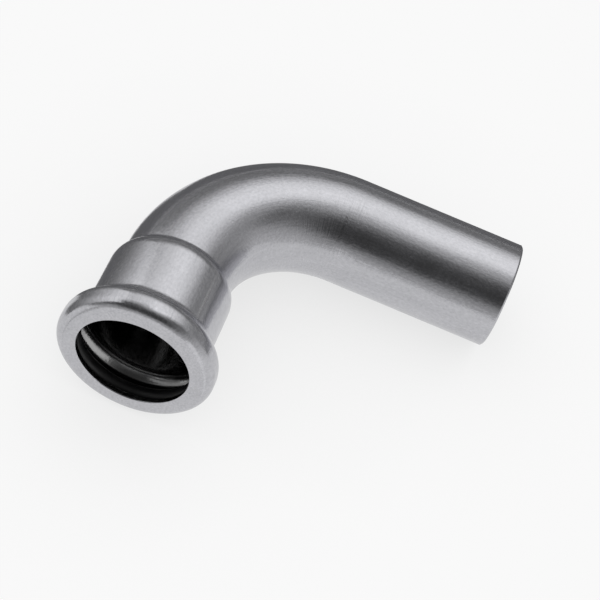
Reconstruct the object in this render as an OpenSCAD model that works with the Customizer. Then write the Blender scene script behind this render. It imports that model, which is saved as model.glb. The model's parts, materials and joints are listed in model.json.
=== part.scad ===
// Press-fit pipe elbow: one length of thin steel tube, bent through a right angle.
// One end is formed into a press socket whose bead holds a round seal ring.
// The other end is left plain, to go into the socket of the next fitting.
// The elbow lies on its side as it comes to rest: along the plain leg and on the bead.
// The origin is on the surface it lies on, under the middle of its bounding box.

/* [Tube] */
// Outside diameter of the tube and of the plain end
tube_od = 22; // [15:0.5:40]
// Thickness of the formed wall
wall = 1.2; // [0.8:0.1:2]

/* [Bend] */
// Radius of the bend, at the centre of the tube
bend_radius = 27.5; // [20:0.5:60]

/* [Plain end] */
// Straight length of the plain leg
leg_length = 34; // [20:0.5:80]
// Bevel on the outer edge of the plain end
leg_bevel = 0.3; // [0.1:0.05:0.5]
// Bevel on the inner edge of the plain end
leg_inner_bevel = 0.15; // [0.05:0.05:0.25]

/* [Press socket] */
// Depth from the mouth to where the bore narrows into the pipe stop
socket_depth = 19.2; // [16:0.2:40]
// Play between a pipe and the socket bore, on the diameter
socket_play = 0.4; // [0.2:0.05:1]
// Inside radius of the shoulder's round edge
shoulder_round = 3.2; // [0.5:0.1:5]
// Outside radius of the hollow where the shoulder runs out into the tube
shoulder_hollow = 0.8; // [0.4:0.1:3]
// Straight tube between the shoulder and the bend
neck_length = 0.6; // [0.2:0.1:20]

/* [Seal bead] */
// Thickness of the seal ring's round section
seal_section = 3.1; // [2:0.1:4.5]
// Play between a pipe and the seal ring, on the diameter
seal_play = 0.3; // [0.1:0.05:0.6]
// Room left between the seal ring and the bead around it
seal_room = 0.05; // [0.02:0.01:0.2]
// Length of the bead's chamber behind the middle of the seal ring
chamber_tail = 0.5; // [0:0.05:3]
// Inside radius of the bead's front corner
front_round = 0.9; // [0.3:0.1:1.5]
// Inside radius of the bead's back edge
back_round = 2; // [1.6:0.1:3]
// Outside radius of the hollow where the bead runs out into the socket
back_hollow = 2.5; // [2:0.1:4]
// Play between a pipe and the rolled-in lip, on the diameter
lip_play = 0.2; // [0.1:0.05:0.6]
// Rounding of the lip's two cut edges
lip_round = 0.2; // [0.05:0.05:0.35]

/* [Hidden] */

$fn = 96;
arc_steps = 12;

// Radii about the socket's own axis, all on the outside of the wall but the lip's
tube_r = tube_od / 2;
socket_r = (tube_od + socket_play) / 2 + wall;
seal_ring_r = (tube_od + seal_play + seal_section) / 2;
bead_r = seal_ring_r + seal_section / 2 + seal_room + wall;
lip_r = (tube_od + lip_play) / 2;

// Outside radii of the wall's three outward folds
front_corner = front_round + wall;
back_corner = back_round + wall;
shoulder_corner = shoulder_round + wall;

// Distances from the mouth, into the socket
seal_ring_z = wall + seal_room + seal_section / 2;
bead_crest_end = seal_ring_z + chamber_tail;
shoulder_end = socket_depth + fold_run(socket_r - tube_r, shoulder_corner + shoulder_hollow);
bend_start = shoulder_end + neck_length;

// Distances from the point where the two axes cross
socket_reach = bend_radius + bend_start;
leg_reach = bend_radius + leg_length;

// Lying on its side, the elbow turns about the plain leg until the bead's back edge touches down
edge_reach = socket_reach - bead_crest_end;
edge_r = bead_r - back_corner;
rest_tilt = atan2(edge_r, edge_reach) - asin((tube_r - back_corner) / norm([edge_reach, edge_r]));

// Middle of the resting elbow's bounding box, seen from above
mouth_extent = (socket_reach - front_corner) * cos(rest_tilt)
    + (bead_r - front_corner) * sin(rest_tilt) + front_corner;
middle_x = (leg_reach - bead_r) / 2;
middle_y = (tube_r - mouth_extent) / 2;

// Turn of each half of a double fold that steps the wall in by a given height
function fold_turn(step, radii) = acos(1 - step / radii);

// Length of the same double fold along the axis
function fold_run(step, radii) = radii * sin(fold_turn(step, radii));

// Points on an arc, given as [distance from the axis, distance from the mouth]
function arc(centre, radius, from, to) =
    [for (i = [0:arc_steps])
        let (a = from + (to - from) * i / arc_steps)
        centre + radius * [cos(a), sin(a)]];

// A list without its first point
function tail(points) = [for (i = [1:len(points) - 1]) points[i]];

// A list in the opposite order
function reversed(points) = [for (i = [len(points) - 1:-1:0]) points[i]];

// Double fold from a high radius to a low one: an outward round, then a hollow
function double_fold(high, low, z, round, hollow) =
    let (turn = fold_turn(high - low, round + hollow))
    let (run = fold_run(high - low, round + hollow))
    concat(
        arc([high - round, z], round, 0, turn),
        tail(arc([low + hollow, z + run], hollow, 180 + turn, 180))
    );

// One face of the formed wall, from the bead's front corner to the bend.
// inset is 0 for the outer face and the wall's thickness for the inner one.
function wall_face(inset) = concat(
    arc([bead_r - front_corner, front_corner], front_corner - inset, -90, 0),
    double_fold(bead_r - inset, socket_r - inset, bead_crest_end, back_corner - inset, back_hollow + inset),
    double_fold(socket_r - inset, tube_r - inset, socket_depth, shoulder_corner - inset, shoulder_hollow + inset),
    [[tube_r - inset, bend_start]]
);

// Section of the socket's wall: rolled-in lip, bead, socket, shoulder and neck
module socket_section() {
    outer = concat(arc([lip_r + lip_round, lip_round], lip_round, 180, 270), wall_face(0));
    inner = concat(arc([lip_r + lip_round, wall - lip_round], lip_round, 180, 90), wall_face(wall));
    polygon(concat(outer, reversed(inner)));
}

// Section of the plain leg's wall, with both edges of its cut end bevelled
module leg_section() {
    inner_r = tube_r - wall;
    polygon([
        [inner_r, 0],
        [tube_r, 0],
        [tube_r, leg_length - leg_bevel],
        [tube_r - leg_bevel, leg_length],
        [inner_r + leg_inner_bevel, leg_length],
        [inner_r, leg_length - leg_inner_bevel]
    ]);
}

// Quarter turn of tube between the socket and the plain leg
module bend() {
    translate([bend_radius, -bend_radius, 0])
        rotate([0, 0, 90])
        rotate_extrude(angle = 90)
        translate([bend_radius, 0])
        difference() {
            circle(r = tube_r);
            circle(r = tube_r - wall);
        }
}

// Ring within the wall that ties two lengths of tube together where they meet end to end
module wall_tie() {
    rotate_extrude()
        translate([tube_r - wall * 3 / 4, -wall / 2])
        square([wall / 2, wall]);
}

// Puts what is built along +Z, from the mouth inwards, onto the socket's axis
module on_socket_axis() {
    translate([0, -socket_reach, 0])
        rotate([-90, 0, 0])
        children();
}

// Puts what is built along +Z, from the end of the bend outwards, onto the plain leg's axis
module on_leg_axis() {
    translate([bend_radius, 0, 0])
        rotate([0, 90, 0])
        children();
}

// Lays the elbow down from the frame whose origin is where the two axes cross
module at_rest() {
    translate([-middle_x, -middle_y, tube_r])
        rotate([-rest_tilt, 0, 0])
        children();
}

module elbow_body() {
    color("silver")
        at_rest()
        union() {
            on_socket_axis() {
                rotate_extrude() socket_section();
                translate([0, 0, bend_start]) wall_tie();
            }
            bend();
            on_leg_axis() {
                rotate_extrude() leg_section();
                wall_tie();
            }
        }
}

module seal_ring() {
    color([0.06, 0.06, 0.06])
        at_rest()
        on_socket_axis()
        rotate_extrude()
        translate([seal_ring_r, seal_ring_z])
        circle(d = seal_section);
}

elbow_body();
seal_ring();
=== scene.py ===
# The press-fit pipe elbow as it is photographed: satin steel tube with a black rubber seal ring.
# The tube is one swept skin with a wall, so the mouth and the cut end show their real thickness.
import json
import math

import bpy
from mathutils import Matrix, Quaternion, Vector


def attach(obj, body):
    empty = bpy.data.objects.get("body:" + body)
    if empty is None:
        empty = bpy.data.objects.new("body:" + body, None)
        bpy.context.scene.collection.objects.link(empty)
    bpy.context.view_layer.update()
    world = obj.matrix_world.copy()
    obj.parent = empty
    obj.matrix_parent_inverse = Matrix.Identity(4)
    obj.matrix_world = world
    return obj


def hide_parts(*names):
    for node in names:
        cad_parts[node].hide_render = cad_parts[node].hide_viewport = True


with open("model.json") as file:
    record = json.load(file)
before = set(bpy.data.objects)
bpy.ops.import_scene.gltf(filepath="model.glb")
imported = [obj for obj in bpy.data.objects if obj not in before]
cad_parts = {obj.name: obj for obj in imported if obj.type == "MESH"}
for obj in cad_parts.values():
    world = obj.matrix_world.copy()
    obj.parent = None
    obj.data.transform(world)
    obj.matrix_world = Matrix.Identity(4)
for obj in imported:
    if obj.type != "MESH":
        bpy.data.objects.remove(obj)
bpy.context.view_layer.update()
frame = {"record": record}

MM = 0.001

# Sizes that the part's source gives
TUBE_R = 11 * MM
WALL = 1.2 * MM
BEND_RADIUS = 27.5 * MM
LEG_LENGTH = 34 * MM
LEG_BEVEL = 0.3 * MM
LEG_INNER_BEVEL = 0.15 * MM
SOCKET_DEPTH = 19.2 * MM
SOCKET_PLAY = 0.4 * MM
SHOULDER_ROUND = 3.2 * MM
SHOULDER_HOLLOW = 0.8 * MM
NECK_LENGTH = 0.6 * MM
SEAL_SECTION = 3.1 * MM
SEAL_PLAY = 0.3 * MM
SEAL_ROOM = 0.05 * MM
CHAMBER_TAIL = 0.5 * MM
FRONT_ROUND = 0.9 * MM
BACK_ROUND = 2.0 * MM
BACK_HOLLOW = 2.5 * MM
LIP_PLAY = 0.2 * MM
LIP_ROUND = 0.2 * MM

# Radii about the socket's axis. The plays are on the diameter.
SOCKET_R = TUBE_R + SOCKET_PLAY / 2 + WALL
SEAL_RING_R = TUBE_R + (SEAL_PLAY + SEAL_SECTION) / 2
BEAD_R = SEAL_RING_R + SEAL_SECTION / 2 + SEAL_ROOM + WALL
LIP_R = TUBE_R + LIP_PLAY / 2

# The shoulder's round and hollow: their radii together, and how far each of them turns
SHOULDER_RADII = SHOULDER_ROUND + WALL + SHOULDER_HOLLOW
SHOULDER_TURN = math.acos(1 - (SOCKET_R - TUBE_R) / SHOULDER_RADII)

# Distances from the mouth along the tube's centre line
SEAL_RING_DEPTH = WALL + SEAL_ROOM + SEAL_SECTION / 2
BEAD_CREST_END = SEAL_RING_DEPTH + CHAMBER_TAIL
BEND_START = SOCKET_DEPTH + SHOULDER_RADII * math.sin(SHOULDER_TURN) + NECK_LENGTH
BEND_END = BEND_START + BEND_RADIUS * math.pi / 2
TUBE_END = BEND_END + LEG_LENGTH

# How finely the skins are divided
AROUND = 192
BEND_STEPS = 72
ARC_STEPS = 12
SEAL_STEPS = 48

# A long stretch gets a point close to each of its ends
HOLD = 0.12 * MM
LONG_STRETCH = 4 * HOLD

# The two axes cross at the elbow's corner. Each mount's axis points out of its end.
mounts = {mount["name"]: mount for mount in frame["record"]["mounts"]}
LEG_WAY = Vector(mounts["spigot"]["axis"])
MOUTH_WAY = Vector(mounts["socket"]["axis"]).normalized()
on_leg = Vector(mounts["spigot"]["pos_m"])
on_socket = Vector(mounts["socket"]["pos_m"])
CORNER = on_leg + LEG_WAY * (on_socket - on_leg).dot(LEG_WAY)
SIDE = LEG_WAY.cross(-MOUTH_WAY)


def arc(depth, radius, bow, start, stop):
    """Points (distance from the mouth, distance from the axis) on an arc about a given centre."""
    turns = [start + (stop - start) * i / ARC_STEPS for i in range(ARC_STEPS + 1)]
    return [(depth + bow * math.sin(t), radius + bow * math.cos(t)) for t in turns]


def fold(high, low, start, outward, hollow):
    """Wall profile that steps in from a high radius to a low one: an outward round, then a hollow."""
    radii = outward + hollow
    turn = math.acos(1 - (high - low) / radii)
    end = start + radii * math.sin(turn)
    points = arc(start, high - outward, outward, 0, turn)
    return points + arc(end, low + hollow, hollow, math.pi + turn, math.pi)[1:]


def held(points):
    """Puts a point close to each end of every long stretch, so that shading stays flat on it."""
    result = [points[0]]
    for (s0, r0), (s1, r1) in zip(points, points[1:]):
        length = math.hypot(s1 - s0, r1 - r0)
        if length > LONG_STRETCH:
            for share in (HOLD / length, 1 - HOLD / length):
                result.append((s0 + (s1 - s0) * share, r0 + (r1 - r0) * share))
        result.append((s1, r1))
    return result


def socket_face(inset):
    """Profile of one face of the wall, from the lip to the bend; inset is 0 or the wall's thickness."""
    front_corner = FRONT_ROUND + WALL
    if inset:
        lip = arc(WALL - LIP_ROUND, LIP_R + LIP_ROUND, LIP_ROUND, math.pi, math.pi / 2)
    else:
        lip = arc(LIP_ROUND, LIP_R + LIP_ROUND, LIP_ROUND, math.pi, math.pi * 3 / 2)
    corner = arc(front_corner, BEAD_R - front_corner, front_corner - inset, -math.pi / 2, 0)
    bead = fold(BEAD_R - inset, SOCKET_R - inset, BEAD_CREST_END,
                BACK_ROUND + WALL - inset, BACK_HOLLOW + inset)
    shoulder = fold(SOCKET_R - inset, TUBE_R - inset, SOCKET_DEPTH,
                    SHOULDER_ROUND + WALL - inset, SHOULDER_HOLLOW + inset)
    return held(lip + corner + bead + shoulder + [(BEND_START, TUBE_R - inset)])


def bend_face(radius):
    """Profile of one face of the bend, without its two ends."""
    steps = range(1, BEND_STEPS)
    return [(BEND_START + (BEND_END - BEND_START) * i / BEND_STEPS, radius) for i in steps]


def tube_profile():
    """The whole wall's closed profile along the centre line, and how many points lie on the outside.

    It runs out along the outside, round the cut end and back along the inside.
    """
    inner_r = TUBE_R - WALL
    inner_edge = (TUBE_END - LEG_INNER_BEVEL, inner_r)
    leg_outside = held([
        (BEND_END, TUBE_R),
        (TUBE_END - LEG_BEVEL, TUBE_R),
        (TUBE_END, TUBE_R - LEG_BEVEL),
        (TUBE_END, inner_r + LEG_INNER_BEVEL),
        inner_edge,
    ])
    leg_inside = held([inner_edge, (BEND_END, inner_r)])[1:]
    outside = socket_face(0) + bend_face(TUBE_R) + leg_outside
    inside = leg_inside + bend_face(inner_r)[::-1] + socket_face(WALL)[::-1]
    return outside + inside, len(outside)


def seal_profile():
    """Closed round section of the seal ring, and how many points lie on the outside: all of them."""
    turns = [2 * math.pi * i / SEAL_STEPS for i in range(SEAL_STEPS)]
    r = SEAL_SECTION / 2
    points = [(SEAL_RING_DEPTH + r * math.sin(t), SEAL_RING_R + r * math.cos(t)) for t in turns]
    return points[::-1], len(points)


def place(s, r, turn):
    """Point at a distance s from the mouth along the centre line, r off it, turned round it.

    Turn 0 is the inside of the bend and a quarter turn is its upper side.
    """
    swing = min(max((s - BEND_START) / BEND_RADIUS, 0), math.pi / 2)
    inward = LEG_WAY * math.cos(swing) + MOUTH_WAY * math.sin(swing)
    centre = CORNER + (LEG_WAY + MOUTH_WAY - inward) * BEND_RADIUS
    centre += MOUTH_WAY * max(BEND_START - s, 0) + LEG_WAY * max(s - BEND_END, 0)
    return centre + (inward * math.cos(turn) + SIDE * math.sin(turn)) * r


def store(mesh, name, kind, field, values):
    """Keeps a value for each point of a mesh, for its material."""
    mesh.attributes.new(name, kind, "POINT")
    mesh.attributes[name].data.foreach_set(field, values)


def unroll(mesh, rows):
    """Lays a swept skin's faces out flat: once over the profile one way and once round the other."""
    corners = [(0, 0), (0, 1), (1, 1), (1, 0)]
    sheet = []
    for i in range(rows):
        for j in range(AROUND):
            for up, along in corners:
                sheet += [(i + up) / rows, (j + along) / AROUND]
    mesh.uv_layers.new(name="unrolled").data.foreach_set("uv", sheet)


def swept(name, profile, outside):
    """Closed skin made by carrying a closed profile round the centre line.

    For the materials, unbent holds each point as it was in the straight tube, and inside is 1 on the
    profile's points after the first ones, which lie on the outside.
    """
    turns = [2 * math.pi * i / AROUND for i in range(AROUND)]
    points = [place(s, r, turn) for s, r in profile for turn in turns]
    unbent = [(s, r * math.cos(turn), r * math.sin(turn)) for s, r in profile for turn in turns]
    rows = len(profile)
    faces = []
    for i in range(rows):
        below, above = i * AROUND, (i + 1) % rows * AROUND
        for j in range(AROUND):
            k = (j + 1) % AROUND
            faces.append((below + j, below + k, above + k, above + j))
    mesh = bpy.data.meshes.new(name)
    mesh.from_pydata(points, [], faces)
    store(mesh, "unbent", "FLOAT_VECTOR", "vector", [value for point in unbent for value in point])
    store(mesh, "inside", "FLOAT", "value", [float(i >= outside) for i in range(rows) for turn in turns])
    unroll(mesh, rows)
    mesh.shade_smooth()
    mesh.validate()
    piece = bpy.data.objects.new(name, mesh)
    bpy.context.collection.objects.link(piece)
    return piece


def new_material(name):
    """A new material with its nodes and links."""
    material = bpy.data.materials.new(name)
    material.use_nodes = True
    return material, material.node_tree.nodes, material.node_tree.links


def add_node(nodes, kind, inputs=(), **settings):
    """Adds a node with its settings, and sets or links its inputs."""
    made = nodes.new(kind)
    for key, value in settings.items():
        setattr(made, key, value)
    for key, value in dict(inputs).items():
        if isinstance(value, bpy.types.NodeSocket):
            made.id_data.links.new(value, made.inputs[key])
        else:
            made.inputs[key].default_value = value
    return made


# Levels between which a value is taken
RISING = (0.0, 1.0)
FALLING = (1.0, 0.0)


def smooth_step(nodes, value, span, levels=RISING):
    """Goes smoothly from the first level to the second while the value crosses a span."""
    ranged = add_node(nodes, "ShaderNodeMapRange", {
        "Value": value,
        "From Min": span[0], "From Max": span[1],
        "To Min": levels[0], "To Max": levels[1],
    }, interpolation_type="SMOOTHSTEP")
    return ranged.outputs["Result"]


def maths(nodes, operation, first, *others):
    """Applies an operation to a value, or to several from left to right."""
    if not others:
        return add_node(nodes, "ShaderNodeMath", {0: first}, operation=operation).outputs[0]
    result = first
    for other in others:
        result = add_node(nodes, "ShaderNodeMath", {0: result, 1: other}, operation=operation).outputs[0]
    return result


def dot_product(nodes, vector, way):
    """How far a vector reaches one way."""
    product = add_node(nodes, "ShaderNodeVectorMath", {0: vector, 1: way}, operation="DOT_PRODUCT")
    return product.outputs["Value"]


def mixed_colour(nodes, share, first, second):
    """The first colour, giving way to the second as the share rises."""
    mix = add_node(nodes, "ShaderNodeMix", {"Factor": share}, data_type="RGBA")
    inputs = [socket for socket in mix.inputs if socket.type == "RGBA"]
    for socket, colour in zip(inputs, (first, second)):
        mix.id_data.links.new(colour, socket)
    return next(socket for socket in mix.outputs if socket.type == "RGBA")


def colour_ramp(nodes, value, stops):
    """Colour that follows a value from stop to stop; each stop is a position and a colour."""
    ramp = add_node(nodes, "ShaderNodeValToRGB", {"Fac": value})
    elements = ramp.color_ramp.elements
    while len(elements) < len(stops):
        elements.new(1.0)
    for element, (position, colour) in zip(elements, stops):
        element.position = position
        element.color = (*colour, 1)
    return ramp.outputs["Color"]


# The span that a noise's values mostly keep to, and the narrower one of a soft noise
NOISE_SPAN = (0.3, 0.7)
SOFT_NOISE_SPAN = (0.35, 0.65)


def toned(nodes, noise, tones):
    """Colour between a dark and a pale tone, as a noise goes."""
    return colour_ramp(nodes, noise, list(zip(NOISE_SPAN, tones)))


def stretched_noise(nodes, vector, scale, detail, roughness):
    """Noise whose cells have their own size each way."""
    mapped = add_node(nodes, "ShaderNodeMapping", {"Vector": vector, "Scale": scale})
    noise = add_node(nodes, "ShaderNodeTexNoise", {
        "Vector": mapped.outputs["Vector"], "Scale": 1.0, "Detail": detail, "Roughness": roughness,
    })
    return noise.outputs["Fac"]


def way_round(turn):
    """The way off the straight tube's axis at a turn round it."""
    return (0, math.cos(turn), math.sin(turn))


# Patterns in the steel: cells a metre along the tube and both ways across it, detail and its strength
STREAKS = ((90, 2600, 2600), 3.0, 0.6)
BANDS = ((60, 420, 420), 2.0, 0.5)
GRIT = ((1500, 2000, 2000), 2.0, 0.5)
MOTTLE = ((150, 150, 150), 3.0, 0.5)
TOOL_MARKS = ((2200, 110, 110), 2.0, 0.5)

# Their shares in the finish
STREAKS_SHARE = 0.26
BANDS_SHARE = 0.24
GRIT_SHARE = 0.5

# Dark and pale tones of the steel. The inside's tones are painted shade: darker, for the shade deep in
# the tube
OUTSIDE_TONES = ((0.49, 0.49, 0.515), (0.68, 0.68, 0.712))
INSIDE_SHADE_TONES = ((0.33, 0.33, 0.33), (0.40, 0.40, 0.40))
WELD_TONES = ((0.68, 0.68, 0.70), (0.76, 0.76, 0.78))
DIE_MARK_TONES = ((0.30, 0.30, 0.315), (0.42, 0.42, 0.44))

# Roughness that the finish gives, and what the mottling, the inside and the weld add to it
FINISH_DULLNESS = (0.17, 0.25)
MOTTLE_DULLNESS = (-0.02, 0.03)
INSIDE_DULLNESS = -0.05
WELD_DULLNESS = 0.08

# The weld's line along the socket: its place round it, its soft edge, and from and to where it runs
WELD_TURN = math.radians(50.5)
WELD_EDGE = (0.05 * MM, 0.4 * MM)
WELD_STARTS = (7 * MM, 9 * MM)
WELD_STOPS = (14 * MM, 21 * MM)
WELD_RISE = 0.4

# The bending die's mark across the tube: its place, its soft edge along the tube and round it,
# and the grit that breaks it up
DIE_MARK_DEPTH = BEND_END - 1.5 * MM
DIE_MARK_TURN = math.radians(49)
DIE_MARK_EDGE = (0.1 * MM, 0.7 * MM)
DIE_MARK_REACH = (0.94 * TUBE_R, 0.99 * TUBE_R)
DIE_MARK_GRIT = (0.35, 0.6)
DIE_MARK_RISE = -0.5

# From and to where the tool's fine marks run, near the end of the bend
TOOL_MARKS_START = (45 * MM, 58 * MM)
TOOL_MARKS_STOP = (66 * MM, 72 * MM)

STEEL_BUMP = {"Strength": 0.45, "Distance": 0.08 * MM}


def weld_line(nodes, unbent, depth):
    """How much of the weld shows: a thin line along one side of the socket."""
    across = dot_product(nodes, unbent, way_round(WELD_TURN + math.pi / 2))
    towards = dot_product(nodes, unbent, way_round(WELD_TURN))
    return maths(
        nodes, "MULTIPLY",
        smooth_step(nodes, maths(nodes, "ABSOLUTE", across), WELD_EDGE, FALLING),
        maths(nodes, "GREATER_THAN", towards, 0.0),
        smooth_step(nodes, depth, WELD_STARTS),
        smooth_step(nodes, depth, WELD_STOPS, FALLING),
    )


def die_mark(nodes, unbent, depth, grit):
    """How much of the die's mark shows: a short broken line across the tube."""
    beside = maths(nodes, "ABSOLUTE", maths(nodes, "SUBTRACT", depth, DIE_MARK_DEPTH))
    facing = dot_product(nodes, unbent, way_round(DIE_MARK_TURN))
    return maths(
        nodes, "MULTIPLY",
        smooth_step(nodes, beside, DIE_MARK_EDGE, FALLING),
        smooth_step(nodes, facing, DIE_MARK_REACH),
        smooth_step(nodes, grit, DIE_MARK_GRIT),
    )


def steel_material():
    """Drawn steel tube with a satin grain, streaks along it and soft mottling, and painted shade that
    darkens its inside.

    The socket has the weld's line, and the end of the bend has the tool's fine marks and the die's mark.
    """
    material, nodes, links = new_material("satin_steel")
    shader = nodes["Principled BSDF"]
    unbent = add_node(nodes, "ShaderNodeAttribute", attribute_name="unbent").outputs["Vector"]
    inside = add_node(nodes, "ShaderNodeAttribute", attribute_name="inside").outputs["Fac"]
    depth = add_node(nodes, "ShaderNodeSeparateXYZ", {"Vector": unbent}).outputs["X"]
    streaks = stretched_noise(nodes, unbent, *STREAKS)
    bands = stretched_noise(nodes, unbent, *BANDS)
    grit = stretched_noise(nodes, unbent, *GRIT)
    mottle = stretched_noise(nodes, unbent, *MOTTLE)
    tool_marks = stretched_noise(nodes, unbent, *TOOL_MARKS)
    weld = weld_line(nodes, unbent, depth)
    mark = die_mark(nodes, unbent, depth, grit)
    finish = maths(
        nodes, "ADD",
        maths(nodes, "MULTIPLY", streaks, STREAKS_SHARE),
        maths(nodes, "MULTIPLY", bands, BANDS_SHARE),
        maths(nodes, "MULTIPLY", grit, GRIT_SHARE),
    )

    plain = toned(nodes, finish, OUTSIDE_TONES)
    marked = mixed_colour(nodes, mark, plain, toned(nodes, mottle, DIE_MARK_TONES))
    outer = mixed_colour(nodes, weld, marked, toned(nodes, mottle, WELD_TONES))
    # Painted shade: the inside takes darker tones, standing in for the shade deep in the tube
    tone = mixed_colour(nodes, inside, outer, toned(nodes, finish, INSIDE_SHADE_TONES))
    links.new(tone, shader.inputs["Base Color"])
    shader.inputs["Metallic"].default_value = 1.0

    dullness = maths(
        nodes, "ADD",
        smooth_step(nodes, finish, NOISE_SPAN, FINISH_DULLNESS),
        smooth_step(nodes, mottle, SOFT_NOISE_SPAN, MOTTLE_DULLNESS),
        maths(nodes, "MULTIPLY", inside, INSIDE_DULLNESS),
        maths(nodes, "MULTIPLY", weld, WELD_DULLNESS),
    )
    links.new(dullness, shader.inputs["Roughness"])

    worked = maths(nodes, "MULTIPLY", smooth_step(nodes, depth, TOOL_MARKS_START),
                   smooth_step(nodes, depth, TOOL_MARKS_STOP, FALLING))
    height = maths(
        nodes, "ADD",
        finish,
        maths(nodes, "MULTIPLY", weld, WELD_RISE),
        maths(nodes, "MULTIPLY", tool_marks, worked),
        maths(nodes, "MULTIPLY", mark, DIE_MARK_RISE),
    )
    bump = add_node(nodes, "ShaderNodeBump", {"Height": height, **STEEL_BUMP})
    links.new(bump.outputs["Normal"], shader.inputs["Normal"])
    return material


# Patterns in the rubber, given as for the steel, its dark and pale tones, and its roughness
RUBBER_GRAIN = ((5000, 5000, 5000), 2.0, 0.5)
RUBBER_BLOOM = ((300, 300, 300), 3.0, 0.5)
RUBBER_TONES = ((0.010, 0.010, 0.011), (0.022, 0.022, 0.023))
RUBBER_DULLNESS = (0.38, 0.52)
RUBBER_BUMP = {"Strength": 0.15, "Distance": 0.02 * MM}


def rubber_material():
    """Moulded black rubber: nearly matt, with a fine grain and a faint bloom."""
    material, nodes, links = new_material("black_rubber")
    shader = nodes["Principled BSDF"]
    unbent = add_node(nodes, "ShaderNodeAttribute", attribute_name="unbent").outputs["Vector"]
    grain = stretched_noise(nodes, unbent, *RUBBER_GRAIN)
    bloom = stretched_noise(nodes, unbent, *RUBBER_BLOOM)
    links.new(toned(nodes, bloom, RUBBER_TONES), shader.inputs["Base Color"])
    links.new(smooth_step(nodes, bloom, NOISE_SPAN, RUBBER_DULLNESS), shader.inputs["Roughness"])
    bump = add_node(nodes, "ShaderNodeBump", {"Height": grain, **RUBBER_BUMP})
    links.new(bump.outputs["Normal"], shader.inputs["Normal"])
    return material


body = swept("steel_elbow", *tube_profile())
body.data.materials.append(steel_material())
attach(body, "root")
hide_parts("elbow_body")

seal = swept("rubber_seal", *seal_profile())
seal.data.materials.append(rubber_material())
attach(seal, "root")
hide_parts("seal_ring")


MATT_ROUGHNESS = 0.9
WHITE = (1, 1, 1, 1)


def matt_material(name, tone):
    """A material with no gloss."""
    material, nodes, links = new_material(name)
    shader = nodes["Principled BSDF"]
    shader.inputs["Base Color"].default_value = (*tone, 1)
    shader.inputs["Roughness"].default_value = MATT_ROUGHNESS
    shader.inputs["Specular IOR Level"].default_value = 0.0
    return material, nodes, links


# Half the floor's width in metres, and its tone
FLOOR_HALF = 3.0
FLOOR_TONE = (0.92, 0.92, 0.92)

# The floor's plain white: its share in what is seen, and how much the metal sees it dimmed
WHITE_SHARE = 0.92
DIMMED_IN_METAL = 0.19

# The elbow's shadow on that white: how dark it gets, how far round it is gathered, and its samples
SHADOW_DEPTH = 0.22
SHADOW_REACH = 45 * MM
SHADOW_SAMPLES = 6


def add_floor():
    """Pale floor. Seen straight or in the metal it is mostly a plain white, which lights nothing.

    Seen straight, that white is shaded where the elbow shuts out the light from around it.
    """
    mesh = bpy.data.meshes.new("floor")
    h = FLOOR_HALF
    mesh.from_pydata([(-h, -h, 0), (h, -h, 0), (h, h, 0), (-h, h, 0)], [], [(0, 1, 2, 3)])
    floor = bpy.data.objects.new("floor", mesh)
    bpy.context.collection.objects.link(floor)
    material, nodes, links = matt_material("pale_floor", FLOOR_TONE)
    path = add_node(nodes, "ShaderNodeLightPath").outputs
    seen = maths(nodes, "MAXIMUM",
                 path["Is Camera Ray"], path["Is Glossy Ray"], path["Is Transmission Ray"])
    dimmed = maths(nodes, "MULTIPLY", path["Is Glossy Ray"], DIMMED_IN_METAL)
    around = add_node(nodes, "ShaderNodeAmbientOcclusion", {"Distance": SHADOW_REACH},
                      samples=SHADOW_SAMPLES)
    shut_out = maths(nodes, "SUBTRACT", 1.0, around.outputs["AO"])
    shade = maths(nodes, "MULTIPLY", shut_out, SHADOW_DEPTH, path["Is Camera Ray"])
    white = add_node(nodes, "ShaderNodeEmission", {
        "Color": WHITE, "Strength": maths(nodes, "SUBTRACT", 1.0, dimmed, shade),
    })
    mixed = add_node(nodes, "ShaderNodeMixShader", {
        0: maths(nodes, "MULTIPLY", seen, WHITE_SHARE),
        1: nodes["Principled BSDF"].outputs["BSDF"],
        2: white.outputs["Emission"],
    })
    links.new(mixed.outputs["Shader"], nodes["Material Output"].inputs["Surface"])
    mesh.materials.append(material)


# Brightness of the studio straight above, and by degrees above the horizon, looking several ways
OVERHEAD = 0.55
FRONT = [(0, 0.52), (19, 0.34), (26, 0.15), (33, 0.055), (52, 0.05), (66, 0.08), (76, 0.17)]
FRONT_LEFT = [(0, 0.24), (20, 0.19), (33, 0.09), (46, 0.08), (58, 0.07), (76, 0.17)]
LEFT = [(0, 0.20), (20, 0.28), (32, 0.60), (46, 0.68), (65, 0.33)]
BACK_LEFT = [(0, 0.20), (20, 0.22), (25, 0.36), (32, 0.54), (38, 0.80), (46, 0.94), (60, 0.52)]
BACK = [(0, 0.20), (20, 0.20), (28, 0.62), (43, 1.02), (49, 1.12), (68, 1.15), (77, 0.98)]
BACK_RIGHT = [(0, 0.34), (15, 0.31), (30, 0.33), (48, 0.40), (60, 0.50), (72, 0.62)]
RIGHT = [(0, 0.60), (19, 0.50), (28, 0.40), (38, 0.22), (56, 0.13), (64, 0.16), (74, 0.38)]

# How one takes over from another, turning from the front over the left: degrees from straight behind
TAKES_OVER = [
    (-150, -120, FRONT_LEFT),
    (-95, -60, LEFT),
    (-42, -36, BACK_LEFT),
    (-24, 0, BACK),
    (28, 62, BACK_RIGHT),
    (62, 92, RIGHT),
    (115, 170, FRONT),
]


def light_ramp(nodes, height, levels):
    """Brightness by height, where 0 is the horizon and 1 is straight above."""
    return colour_ramp(nodes, height, [
        (degrees / 90, (level, level, level)) for degrees, level in levels + [(90, OVERHEAD)]
    ])


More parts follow.
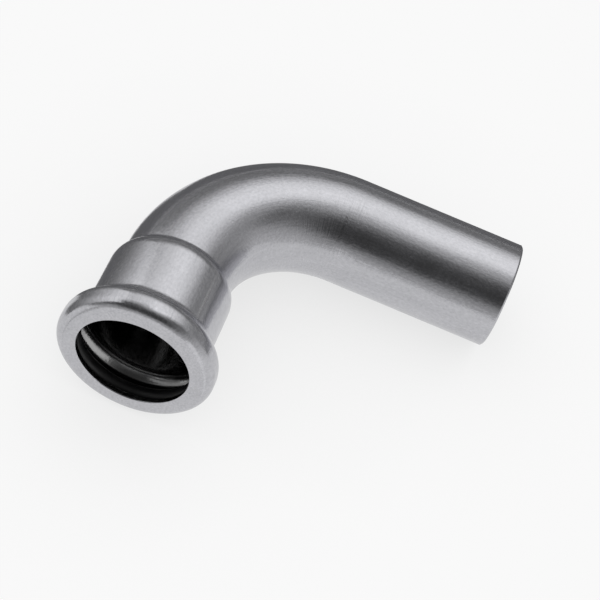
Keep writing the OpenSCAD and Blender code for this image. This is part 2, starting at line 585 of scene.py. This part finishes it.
def light_studio():
    """Soft light from above and behind, dark around the camera, and pale again low in front."""
    world = bpy.data.worlds.new("studio")
    bpy.context.scene.world = world
    world.use_nodes = True
    nodes = world.node_tree.nodes
    way = add_node(nodes, "ShaderNodeTexCoord").outputs["Generated"]
    parts = add_node(nodes, "ShaderNodeSeparateXYZ", {"Vector": way}).outputs
    height = maths(nodes, "DIVIDE", maths(nodes, "ARCSINE", parts["Z"]), math.pi / 2)
    turn = maths(nodes, "ARCTAN2", parts["X"], parts["Y"])
    light = light_ramp(nodes, height, FRONT)
    for start, stop, levels in TAKES_OVER:
        share = smooth_step(nodes, turn, (math.radians(start), math.radians(stop)))
        light = mixed_colour(nodes, share, light, light_ramp(nodes, height, levels))
    world.node_tree.links.new(light, nodes["Background"].inputs["Color"])


# Grey cards laid on the floor, behind the elbow and to its left: where the two meet, and their corners
GREY_CARD_TONE = (0.40, 0.40, 0.41)
CARD_LIFT = 0.5 * MM
CARDS_MEET = 34 * MM
FLOOR_CARDS = [
    [(-600 * MM, CARDS_MEET), (600 * MM, CARDS_MEET), (600 * MM, 800 * MM), (-600 * MM, 800 * MM)],
    [(-42 * MM, -10 * MM), (-42 * MM, CARDS_MEET), (-155 * MM, CARDS_MEET)],
]

# White card standing at the left: its place, its near edge, its far edge at foot and top, and its height
SIDE_CARD_X = -70 * MM
SIDE_CARD_NEAR = -45 * MM
SIDE_CARD_FAR_FOOT = 20 * MM
SIDE_CARD_FAR_TOP = 45 * MM
SIDE_CARD_TOP = 80 * MM

# Between two heights it goes from one brightness to another
SIDE_CARD_SPAN = (5 * MM, 70 * MM)
SIDE_CARD_LIGHT = (0.17, 0.98)

# Pale cards standing in front of the mouth, to its right and to its left
MOUTH_CARDS = [
    {"near": (-4 * MM, -37 * MM), "far": (3 * MM, -64 * MM), "top": 32 * MM, "light": 0.88},
    {"near": (-41 * MM, -40 * MM), "far": (-44 * MM, -52 * MM), "top": 38 * MM, "light": 0.42},
]


def add_card(name, corners, material):
    """A card that only the metal sees."""
    mesh = bpy.data.meshes.new(name)
    mesh.from_pydata(corners, [], [tuple(range(len(corners)))])
    mesh.materials.append(material)
    card = bpy.data.objects.new(name, mesh)
    bpy.context.collection.objects.link(card)
    card.visible_camera = False
    card.visible_diffuse = False
    card.visible_shadow = False
    card.visible_transmission = False


def make_glow(nodes, links, strength):
    """Makes a material shine with a plain white."""
    glow = add_node(nodes, "ShaderNodeEmission", {"Color": WHITE, "Strength": strength})
    links.new(glow.outputs["Emission"], nodes["Material Output"].inputs["Surface"])


def add_floor_cards():
    """Cards for the dark lines along the metal's far edges."""
    grey = matt_material("grey_card", GREY_CARD_TONE)[0]
    for number, corners in enumerate(FLOOR_CARDS):
        add_card(f"floor_card_{number}", [(x, y, CARD_LIFT) for x, y in corners], grey)


def add_side_card():
    """Card for the paler side of the socket."""
    white, nodes, links = new_material("white_card")
    spot = add_node(nodes, "ShaderNodeTexCoord").outputs["Object"]
    height = add_node(nodes, "ShaderNodeSeparateXYZ", {"Vector": spot}).outputs["Z"]
    make_glow(nodes, links, smooth_step(nodes, height, SIDE_CARD_SPAN, SIDE_CARD_LIGHT))
    corners = [(SIDE_CARD_NEAR, 0), (SIDE_CARD_FAR_FOOT, 0),
               (SIDE_CARD_FAR_TOP, SIDE_CARD_TOP), (SIDE_CARD_NEAR, SIDE_CARD_TOP)]
    add_card("side_card", [(SIDE_CARD_X, y, z) for y, z in corners], white)


def add_mouth_cards():
    """Cards for the two pale ends of the hollow inside the mouth."""
    for number, card in enumerate(MOUTH_CARDS):
        pale, nodes, links = new_material(f"pale_card_{number}")
        make_glow(nodes, links, card["light"])
        near, far, top = card["near"], card["far"], card["top"]
        add_card(f"mouth_card_{number}", [(*near, 0), (*far, 0), (*far, top), (*near, top)], pale)


# The photograph's viewpoint: where the camera stands, what it is aimed at and how far it is rolled,
# then the lens and the sensor's width in millimetres, and where the view starts
CAMERA_PLACE = Vector((0.893, -168.199, 258.305)) * MM
CAMERA_AIM = Vector((0.945, -1.907, 14.201)) * MM
CAMERA_ROLL = math.radians(22.70)
CAMERA_LENS = 91.318
CAMERA_SENSOR = 36
CAMERA_CLIP = 10 * MM


def add_camera():
    """The camera at that viewpoint."""
    camera = bpy.data.objects.new("camera", bpy.data.cameras.new("camera"))
    bpy.context.collection.objects.link(camera)
    camera.data.lens = CAMERA_LENS
    camera.data.sensor_width = CAMERA_SENSOR
    camera.data.clip_start = CAMERA_CLIP
    camera.location = CAMERA_PLACE
    camera.rotation_mode = "QUATERNION"
    level = (CAMERA_AIM - CAMERA_PLACE).to_track_quat("-Z", "Y")
    camera.rotation_quaternion = level @ Quaternion((0, 0, 1), CAMERA_ROLL)
    bpy.context.scene.camera = camera


add_floor()
add_floor_cards()
add_side_card()
add_mouth_cards()
light_studio()
add_camera()
bpy.context.scene.view_settings.view_transform = "Standard"
